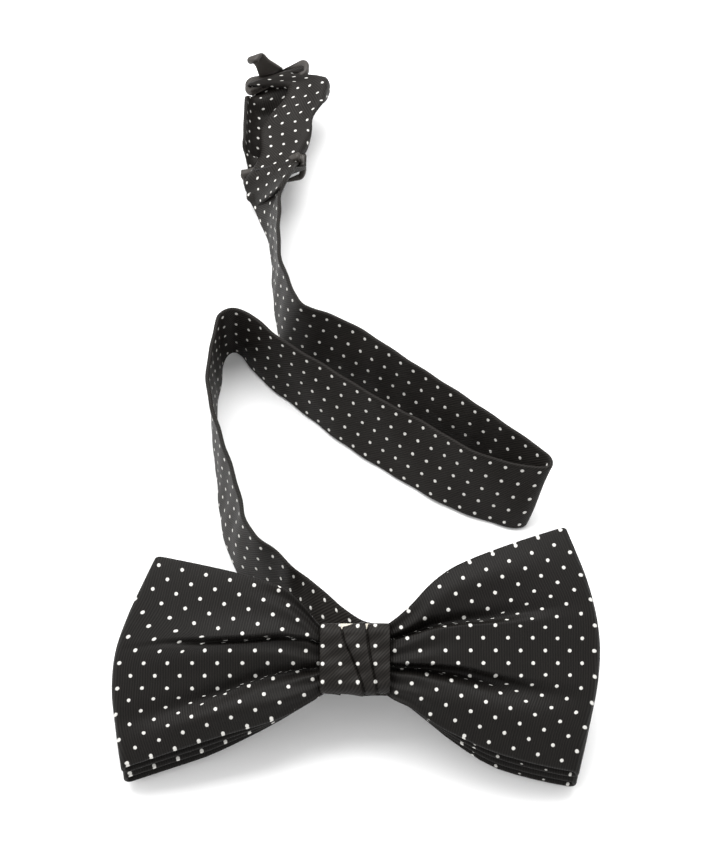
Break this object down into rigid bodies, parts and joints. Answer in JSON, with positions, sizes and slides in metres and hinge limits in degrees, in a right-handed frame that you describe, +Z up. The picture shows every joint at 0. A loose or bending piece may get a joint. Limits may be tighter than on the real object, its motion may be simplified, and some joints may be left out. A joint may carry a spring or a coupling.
{
  "type": "bow tie",
  "caption": "Pre-tied black bow tie in ribbed cloth with white pin dots, pleated double bow and knot, standing neckband, and an adjuster with slider and hook.",
  "frame": {"origin": "under the middle of the whole part, on the table it lies on", "axes": "+X along the bow, +Y from the bow to the hook, +Z up from the table"},
  "size_m": [0.118, 0.2346, 0.0324],
  "materials": {
    "dotted_faille": "ribbed faille with white woven pin dots, soft sheen",
    "canvas": "plain woven stiffening canvas, matt",
    "thread": "black sewing thread and cord, matt",
    "dark_enamel": "smooth dark enamel, half gloss"
  },
  "bodies": {
    "bow_and_band": {"front_bow_cloth": "dotted_faille", "front_bow_canvas": "canvas", "back_bow_cloth": "dotted_faille", "back_bow_canvas": "canvas", "gathering_thread": "thread", "knot_lining": "canvas", "knot_wrap": "dotted_faille", "neckband_cloth": "dotted_faille", "neckband_canvas": "canvas", "catch_loop": "thread", "band_end_tack": "thread", "tail_tack": "thread"},
    "slider": {"slider": "dark_enamel"},
    "hook": {"hook": "dark_enamel"}
  },
  "joints": [
    {"name": "slider_slide", "type": "slide", "parent": "bow_and_band", "child": "slider", "axis": [0, 1, 0], "range_m": [-0.002, 0.012]},
    {"name": "hook_swing", "type": "hinge", "parent": "bow_and_band", "child": "hook", "pos_m": [-0.02482, 0.10971, 0.01008], "axis": [0.9107, 0, 0.4131], "range_deg": [-40, 65]}
  ]
}
